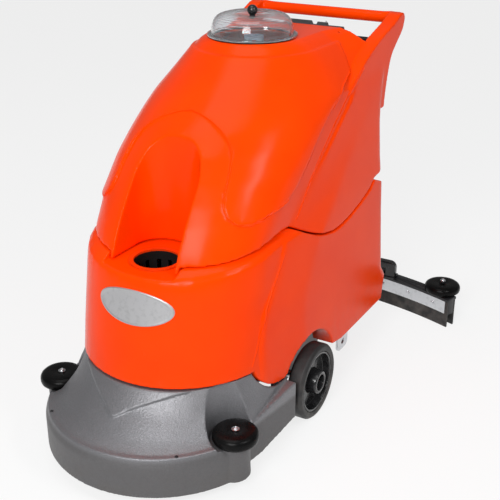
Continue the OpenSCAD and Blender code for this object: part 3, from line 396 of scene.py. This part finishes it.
def merged_copy(node):
    """A copy of a solid with its loose triangles merged."""
    plain = frame["nodes"][node]
    piece = plain.copy()
    piece.data = plain.data.copy()
    bpy.context.scene.collection.objects.link(piece)
    piece.parent = None
    piece.matrix_world = Matrix.Identity(4)
    take(piece)
    bpy.ops.object.mode_set(mode="EDIT")
    bpy.ops.mesh.select_all(action="SELECT")
    bpy.ops.mesh.remove_doubles(threshold=0.00003)
    bpy.ops.object.mode_set(mode="OBJECT")
    return piece


def stands_for(piece, node, name=None):
    """Lets a piece take a solid's place, body and finish."""
    finish_piece(piece, name or "dressed_" + node, body_of_node[node], slot_of_node[node])
    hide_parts(node)
    return piece


def dressed(node, edge, angle=28.0):
    """A smooth copy of a machined or turned solid, with softened edges."""
    piece = merged_copy(node)
    bpy.ops.object.mode_set(mode="EDIT")
    bpy.ops.mesh.dissolve_limited(angle_limit=math.radians(0.3))
    bpy.ops.object.mode_set(mode="OBJECT")
    return stands_for(soften(piece, edge, angle), node)


def sharp_places(mesh, step):
    """Points along the edges that are sharper than 24 degrees."""
    shell = bmesh.new()
    shell.from_mesh(mesh)
    places = []
    for edge in shell.edges:
        if edge.calc_face_angle(0.0) > math.radians(24.0):
            a, b = (v.co for v in edge.verts)
            count = max(1, int((a - b).length / step))
            places += [a.lerp(b, k / count) for k in range(count + 1)]
    shell.free()
    tree = KDTree(len(places))
    for number, place in enumerate(places):
        tree.insert(place, number)
    tree.balance()
    return tree


def moulded(node, grid, faces=95000, backing=()):
    """A moulded or cast solid: edges rounded as in its mould, and even curves between them."""
    piece = merged_copy(node)
    sharp = sharp_places(piece.data, 0.006)
    piece = join([piece] + [block(*corners) for corners in backing])
    skin = piece.modifiers.new("skin", "REMESH")
    skin.mode = "VOXEL"
    skin.voxel_size = grid
    skin_step = skin.voxel_size
    bpy.ops.object.modifier_apply(modifier=skin.name)

    calm = piece.vertex_groups.new(name="calm")
    levels = {}
    for vertex in piece.data.vertices:
        reach = (sharp.find(vertex.co)[2] - 0.004) / 0.02
        levels.setdefault(round(8 * min(1.0, max(0.0, reach))), []).append(vertex.index)
    for level, vertices in levels.items():
        if level:
            calm.add(vertices, level / 8.0, "REPLACE")
    finer = (0.004 / skin_step) ** 2
    for name, rounds, share, group in (("even", 60, 0.7, "calm"), ("soft", 2, 0.5, "")):
        smooth = piece.modifiers.new(name, "SMOOTH")
        smooth.iterations = max(1, round(rounds * finer))
        smooth.factor = share
        smooth.vertex_group = group
        bpy.ops.object.modifier_apply(modifier=smooth.name)
    if len(piece.data.polygons) > faces:
        thin = piece.modifiers.new("thin", "DECIMATE")
        thin.ratio = faces / len(piece.data.polygons)
        bpy.ops.object.modifier_apply(modifier=thin.name)
    bpy.ops.object.shade_smooth()
    return stands_for(piece, node)


def surface_along(piece, start, direction):
    """Where a line first meets a piece, or None."""
    hit, place, normal, face = piece.ray_cast(Vector(start), Vector(direction))
    return place if hit else None


for name, solid in frame["nodes"].items():
    for place in solid.material_slots:
        place.material = finishes[slot_of_node[name]]
strainer_finish = strainer_plastic()
for place in frame["nodes"]["fill_strainer"].material_slots:
    place.material = strainer_finish

solution_shell = moulded("solution_tank", 0.0026)
crest_backing = [(138, 152, 366, 384, 905, 915), (150, 160, 368, 384, 903, 912)]
crest_backing += [(-x1, -x0, *rest) for x0, x1, *rest in crest_backing]
recovery_shell = moulded("recovery_tank", 0.003, backing=crest_backing)
deck_shell = moulded("deck_cover", 0.0025)

for node in ("wheel_hub_left", "wheel_hub_right", "tyre_left", "tyre_right", "squeegee_yoke",
             "castor_wheel_left", "castor_wheel_right"):
    dressed(node, 0.0022)
for node in ("wing_knobs", "squeegee_frame", "deadman_lever", "drain_cap"):
    dressed(node, 0.001)


def name_badge():
    """A bare oval badge with a raised rim, laid on the front of the solution tank."""
    rings = [(1000, 0), (1000, 1.5), (985, 2.3), (955, 2.6), (925, 2.3), (905, 1.5), (880, 1.3)]
    rings += [(share * 10, 1.3) for share in (80, 70, 60, 50, 40, 30, 20, 10, 2)]
    badge = turned(rings, (0.0, 0.0, 0.0), sides=96)
    middle = at(10, 0, 417)
    for vertex in badge.data.vertices:
        x = middle.x + vertex.co.x * 0.099
        z = middle.z + vertex.co.y * 0.0405
        wall = surface_along(solution_shell, (x, -1.0, z), (0.0, 1.0, 0.0))
        vertex.co = Vector((x, wall.y - vertex.co.z, z))
    take(badge)
    bpy.ops.object.mode_set(mode="EDIT")
    bpy.ops.mesh.select_all(action="SELECT")
    bpy.ops.mesh.normals_make_consistent(inside=False)
    bpy.ops.object.mode_set(mode="OBJECT")
    finish_piece(badge, "oval_badge", "base", material=badge_metal)


def bead(name, shell, body, slot, line, radius, side):
    """A raised bead that runs along a line of places, laid on a shell's flank."""
    path = bpy.data.curves.new(name, "CURVE")
    path.dimensions = "3D"
    path.bevel_depth = radius
    path.bevel_resolution = 4
    path.use_fill_caps = True
    run = path.splines.new("NURBS")
    places = []
    for (y0, z0), (y1, z1) in zip(line, line[1:]):
        places += [(y0 + (y1 - y0) * k / 4.0, z0 + (z1 - z0) * k / 4.0) for k in range(4)]
    places.append(line[-1])
    run.points.add(len(places) - 1)
    for point, (y, z) in zip(run.points, places):
        start = at(side * 400, y, z)
        wall = surface_along(shell, start, (-side, 0.0, 0.0))
        point.co = (wall.x - side * radius * 0.45, wall.y, wall.z, 1.0)
    run.order_u = 3
    run.use_endpoint_u = True
    piece = bpy.data.objects.new(name, path)
    bpy.context.scene.collection.objects.link(piece)
    take(piece)
    bpy.ops.object.convert(target="MESH")
    bpy.ops.object.shade_smooth()
    finish_piece(bpy.context.object, name, body, slot)


def laid_bead(name, shell, body, slot, places, radius):
    """A raised bead along places that lie on or near a shell."""
    path = bpy.data.curves.new(name, "CURVE")
    path.dimensions = "3D"
    path.bevel_depth = radius
    path.bevel_resolution = 4
    path.use_fill_caps = True
    run = path.splines.new("NURBS")
    steps = [Vector(a).lerp(Vector(b), k / 4.0) for a, b in zip(places, places[1:]) for k in range(4)]
    steps.append(Vector(places[-1]))
    run.points.add(len(steps) - 1)
    for point, step in zip(run.points, steps):
        found, wall, normal, face = shell.closest_point_on_mesh(step)
        point.co = (*(wall - normal * radius * 0.2), 1.0)
    run.order_u = 4
    run.use_endpoint_u = True
    piece = bpy.data.objects.new(name, path)
    bpy.context.scene.collection.objects.link(piece)
    take(piece)
    bpy.ops.object.convert(target="MESH")
    bpy.ops.object.shade_smooth()
    finish_piece(bpy.context.object, name, body, slot)


def roller(node, x, y, z, radius, thick):
    """A rubber bumper roller: crowned edge, flat top and a bore for its bolt."""
    wide = radius / 54.0
    rings = [(w * wide, h * thick / 30.0) for w, h in (
        (30, 0.0), (43, 0.0), (49, 1.2), (52.4, 4.5), (53.8, 9.0), (54, 14.0), (53.4, 19.0),
        (51.2, 23.6), (47.5, 27.0), (42.5, 29.2), (37, 30.0), (20, 30.0), (16, 29.2), (14, 29.0))]
    piece = turned(rings, at(x, y, z), sides=72)
    bore = turned([(5.1, -10), (5.1, 50)], at(x, y, z), sides=32)
    stands_for(cut(piece, bore), node)


def socket_screw(x, y, z, radius, shaft):
    """A button-head screw with a hexagon socket, its head standing on height z."""
    head = turned([(radius * 0.5, -shaft), (radius * 0.5, 0.0), (radius, 0.0), (radius, 1.6),
                   (radius * 0.93, 2.8), (radius * 0.78, 3.8), (radius * 0.6, 4.2)], at(x, y, z), sides=48)
    socket = turned([(radius * 0.48, 1.4), (radius * 0.48, 8.0)], at(x, y, z), sides=6)
    return cut(head, socket)


def bumper_screws():
    screws = []
    for x in (253, -253):
        screws.append(socket_screw(x, -350, 153.6, 6.6, 46.0))
        washer = turned([(8, 153.35), (9, 153.5), (9, 154.4), (7, 154.6)], at(x, -350, 0), sides=40)
        nut = turned([(9, 107.4), (9.6, 108.4), (9.6, 113.4), (9, 114.4)], at(x, -350, 0), sides=6)
        screws += [washer, nut]
    stands_for(join(screws), "bumper_bolts")


def squeegee_screws():
    for side, name in ((1, "left"), (-1, "right")):
        screw = socket_screw(side * 386, 677, 127.9, 7.5, 2.0)
        finish_piece(screw, "squeegee_screw_" + name, "squeegee", "plated_steel")


def tie_plates():
    """Bright plated tie-down plates on the dark frame: two pieces from one merged copy."""
    whole = merged_copy("chassis_frame")
    bpy.ops.object.mode_set(mode="EDIT")
    bpy.ops.mesh.select_all(action="DESELECT")
    mesh = bmesh.from_edit_mesh(whole.data)
    for face in mesh.faces:
        face.select_set(all(abs(v.co.x) > 0.2435 for v in face.verts))
    bmesh.update_edit_mesh(whole.data)
    bpy.ops.mesh.separate(type="SELECTED")
    bpy.ops.object.mode_set(mode="OBJECT")
    plates = next(o for o in bpy.context.selected_objects if o is not whole)
    take(plates)
    plates.data.materials.clear()
    bpy.ops.object.shade_smooth_by_angle(angle=math.radians(35))
    finish_piece(plates, "tie_plates", "base", "plated_steel")
    take(whole)
    bpy.ops.object.shade_smooth_by_angle(angle=math.radians(35))
    stands_for(whole, "chassis_frame")


def bristle_tufts():
    """Rings of nylon tufts under the brush plate, each flared a little at its tip."""
    alone()
    bpy.ops.mesh.primitive_cone_add(vertices=8, radius1=0.0062, radius2=0.0042, depth=0.0395,
                                    location=(0.0, 0.0, 0.05785))
    tuft = bpy.context.object
    bpy.ops.object.transform_apply(location=True, rotation=True, scale=True)
    tufts = []
    centre = at(0, -272, 0)
    for ring in range(9):
        radius = 0.104 + ring * 0.0164
        count = int(2.0 * math.pi * radius / 0.0155)
        for k in range(count):
            angle = 2.0 * math.pi * (k + 0.5 * (ring % 2)) / count
            copy = tuft.copy()
            copy.data = tuft.data.copy()
            bpy.context.scene.collection.objects.link(copy)
            copy.data.transform(Matrix.Translation((centre.x + radius * math.cos(angle),
                                                    centre.y + radius * math.sin(angle), 0.0)))
            tufts.append(copy)
    bpy.data.objects.remove(tuft)
    stands_for(join(tufts), "brush_bristles")


def battery_tops():
    """Filler caps and a small block at each end of each battery."""
    for name, y0 in (("battery_front", 49), ("battery_rear", 227)):
        parts = []
        for k in range(6):
            parts.append(turned([(13, 0), (13, 5), (11.5, 7), (6, 7.4)],
                                at(-100 + 40 * k, y0 + 128, 435.6), sides=24))
        parts.append(block(-165.6, -150, y0 + 60, y0 + 112, 404, 412, 0.002))
        parts.append(block(150, 165.6, y0 + 60, y0 + 112, 404, 412, 0.002))
        finish_piece(join(parts), name + "_fittings", "base", "black_plastic")


def hose_barbs():
    """Barbs round the suction fitting and grip ribs round the drain's cap."""
    rings = []
    for k in range(3):
        y = 477 + 11 * k
        rings.append(turned([(24.0, 0), (24.2, 0.6), (25.6, 1.2), (24.0, 8.0)],
                            at(70, y, 640), (math.radians(-90), 0, 0), 48))
    barbs = join(rings)
    core = turned([(20.0, -60), (20.0, 120)], at(70, 480, 640), (math.radians(-90), 0, 0), 48)
    finish_piece(cut(barbs, core), "suction_barbs", "recovery", "black_plastic")
    ribs = []
    for k in range(14):
        angle = 2.0 * math.pi * k / 14
        rib = block(-2.2, 2.2, 468, 500, 28.4, 31.6, 0.001)
        rib.data.transform(Matrix.Rotation(angle, 4, "Y"))
        rib.data.transform(Matrix.Translation((-0.070, 0.0, 0.582)))
        ribs.append(rib)
    finish_piece(join(ribs), "cap_ribs", "cap", "red_plastic")


console_angle = math.atan2(126.0, 98.0)


def on_console(x, along, up):
    """A place on the sloping console: across, down the slope and off its face."""
    return at(x, 378 + along * math.cos(console_angle) + up * math.sin(console_angle),
              926 - along * math.sin(console_angle) + up * math.cos(console_angle))


def console_details():
    """The battery gauge's bezel, dial, ticks and pointer, and the lamps beside the rockers."""
    lean = (-console_angle, 0.0, 0.0)
    bezel = turned([(21, 21.2), (25.5, 21.2), (25.8, 22.6), (24.5, 24.2), (22.4, 24.4), (21.4, 22.3)],
                   on_console(13.5, 41, 0), lean, 64)
    finish_piece(bezel, "gauge_bezel", "recovery", "black_plastic")
    dial = turned([(20.8, 21.8), (20.8, 22.5), (19.5, 22.5)], on_console(13.5, 41, 0), lean, 64)
    finish_piece(dial, "gauge_dial", "recovery", "white_plastic")
    marks = []
    for k in range(11):
        tick = block(-0.35, 0.35, 14.0, 17.6, 0, 0.4)
        tick.data.transform(Matrix.Translation((0.0, machine_middle, 0.0)))
        tick.data.transform(Matrix.Rotation(math.radians(-75 + 15 * k), 4, "Z"))
        marks.append(tick)
    needle = block(-0.6, 0.6, -3.0, 15.0, 0.3, 0.9)
    needle.data.transform(Matrix.Translation((0.0, machine_middle, 0.0)))
    needle.data.transform(Matrix.Rotation(math.radians(38), 4, "Z"))
    marks.append(needle)
    marks.append(turned([(2.6, 0.2), (2.6, 1.3), (2.0, 1.7)], (0.0, 0.0, 0.0), sides=24))
    scale = join(marks)
    scale.data.transform(Matrix.Rotation(math.radians(180), 4, "Z"))
    scale.data.transform(Matrix.Rotation(-console_angle, 4, "X"))
    scale.data.transform(Matrix.Translation(on_console(13.5, 41, 22.6)))
    finish_piece(scale, "gauge_scale", "recovery", "black_plastic")
    for name, x, slot in (("charge_lamp", -70, "red_plastic"), ("run_lamp", -92, "blue_plastic")):
        lamp = turned([(6, 3.9), (6, 5.5), (4.6, 6.0), (4.4, 8.0), (3.4, 9.4), (1.4, 10.0)],
                      on_console(x, 41, 0), lean, 32)
        finish_piece(lamp, name, "recovery", slot)


def strap_bolts():
    """Bolts along the squeegee's front and rear straps."""
    bolts = []
    for reach in (-1, 1):
        radius = 1192 + reach * 20.9
        turns = (-16.1, -11.5, -6.9, 6.9, 11.5, 16.1) if reach > 0 else [4.6 * k for k in range(-4, 5)]
        for turn in turns:
            angle = math.radians(turn)
            x, y = radius * math.sin(angle), -472 + radius * math.cos(angle)
            bolt = turned([(6.2, 0), (6.2, 1.0), (4.6, 1.2), (4.6, 4.0), (3.6, 4.6)], (0, 0, 0), sides=6)
            bolt.data.transform(Matrix.Rotation(math.radians(-90 * reach), 4, "X"))
            bolt.data.transform(Matrix.Rotation(-angle, 4, "Z"))
            bolt.data.transform(Matrix.Translation(at(x, y, 66)))
            bolts.append(bolt)
    finish_piece(join(bolts), "strap_bolts", "squeegee", "plated_steel")


def deck_screws():
    """Two small screws on the shelf of the casting."""
    for side, name in ((1, "left"), (-1, "right")):
        place = at(side * 178, -477, 0)
        top = surface_along(deck_shell, (place.x, place.y, 1.0), (0.0, 0.0, -1.0))
        screw = turned([(4.2, -4), (4.2, 0.8), (3.4, 1.8), (1.6, 2.0)], (place.x, place.y, top.z), sides=24)
        finish_piece(screw, "shelf_screw_" + name, "base", "dark_steel")


badge_metal = steel("badge_metal", (0.50, 0.50, 0.51), 0.34, 0.75)
name_badge()
hood_crease = [(-26, 545), (-12, 562), (15, 596), (50, 633), (84, 668), (126, 701), (170, 736), (222, 771),
               (275, 805), (330, 838)]
tank_crease = [(-107, 487), (-137, 448), (-163, 415), (-188, 380), (-208, 337), (-223, 290), (-238, 252)]
for sign, hand in ((1, "left"), (-1, "right")):
    bead("hood_bead_" + hand, recovery_shell, "recovery", "orange_plastic", hood_crease, 0.003, sign)
    bead("tank_bead_" + hand, solution_shell, "base", "orange_plastic", tank_crease, 0.0028, sign)
panel_edge = [(0, -112, 801), (26, -118, 798), (62, -125, 786), (93, -133, 770), (118, -143, 748),
              (133, -157, 726), (141, -180, 688), (144, -206, 655), (152, -225, 622), (168, -233, 606),
              (182, -228, 595), (194, -212, 587), (206, -194, 586), (216, -175, 588), (223, -151, 593),
              (234, -129, 603), (238, -94, 608), (234, -60, 622), (234, -16, 641), (235, 41, 690),
              (235, 101, 749), (238, 166, 784), (229, 217, 814), (217, 283, 835)]
whole_edge = [(-x, y, z) for x, y, z in reversed(panel_edge[1:])] + panel_edge
laid_bead("panel_bead", recovery_shell, "recovery", "orange_plastic", [at(*p) for p in whole_edge], 0.0024)
for hand, x in (("left", 253), ("right", -253)):
    roller("bumper_roller_" + hand, x, -350, 123.3, 54, 30)
for hand, x in (("left", 386), ("right", -386)):
    roller("squeegee_roller_" + hand, x, 677, 93.3, 54, 28)
bumper_screws()
squeegee_screws()
tie_plates()
bristle_tufts()
battery_tops()
hose_barbs()
console_details()
strap_bolts()
deck_screws()


# ---------------------------------------------------- floor, lamps and camera

def white_room():
    """A pale floor under plain soft light."""
    bpy.ops.mesh.primitive_plane_add(size=40.0, location=(0.0, 0.0, 0.0))
    floor = bpy.context.object
    floor.name = "floor"
    f = Finish("pale_floor", Roughness=0.8)
    f.surface.inputs["Base Color"].default_value = (0.86, 0.86, 0.86, 1.0)
    seen = f.node("ShaderNodeLightPath", out="Is Camera Ray")
    glossy = f.node("ShaderNodeLightPath", out="Is Glossy Ray")
    through = f.node("ShaderNodeLightPath", out="Is Transmission Ray")
    white = f.node("ShaderNodeEmission", {}, {"Color": (1.0, 1.0, 1.0, 1.0), "Strength": 1.0})
    share = (seen + glossy + through).above(0.0, 1.0) * 0.8
    mixed = f.node("ShaderNodeMixShader", {}, {0: share, 1: Level(f, f.surface.outputs[0]), 2: white})
    out = next(n for n in f.tree.nodes if n.type == "OUTPUT_MATERIAL")
    f.tree.links.new(mixed.socket, out.inputs[0])
    floor.data.materials.append(f.material)

    world = bpy.data.worlds.new("room")
    bpy.context.scene.world = world
    world.use_nodes = True
    world.node_tree.nodes["Background"].inputs[0].default_value = (1.0, 1.0, 1.0, 1.0)
    world.node_tree.nodes["Background"].inputs[1].default_value = 0.25


def soft_lamp(name, place, aim, size, watts, wide=None, along=(0.0, 0.0, 1.0)):
    lamp = bpy.data.objects.new(name, bpy.data.lights.new(name, "AREA"))
    lamp.data.size = size
    if wide:
        lamp.data.shape = "RECTANGLE"
        lamp.data.size_y = wide
    lamp.data.energy = watts
    lamp.location = place
    back = (Vector(place) - Vector(aim)).normalized()
    right = Vector(along).cross(back).normalized()
    lamp.rotation_euler = Matrix((right, back.cross(right), back)).transposed().to_euler()
    bpy.context.scene.collection.objects.link(lamp)


def look_from_front():
    """Camera at eye height, ahead of the machine and to its left."""
    camera = bpy.data.objects.new("camera", bpy.data.cameras.new("camera"))
    camera.data.sensor_width = 36.0
    camera.data.lens = 66.53
    camera.location = (1.1509, -1.8444 - machine_middle, 1.3664)
    camera.rotation_euler = (math.radians(90.0 - 23.87), 0.0, math.radians(29.92))
    bpy.context.scene.collection.objects.link(camera)
    bpy.context.scene.camera = camera


white_room()
soft_lamp("key", (0.7, -3.1, 2.2), (0.0, -0.1, 0.5), 1.3, 78.0)
soft_lamp("top", (-0.2, -0.6, 3.4), (0.0, 0.0, 0.6), 1.8, 26.0)
soft_lamp("side", (1.85, -0.53, 2.08), (0.18, -0.22, 0.69), 0.3, 16.0, wide=1.0, along=(0.2, -0.87, -0.48))
look_from_front()
bpy.context.scene.view_settings.view_transform = "Standard"
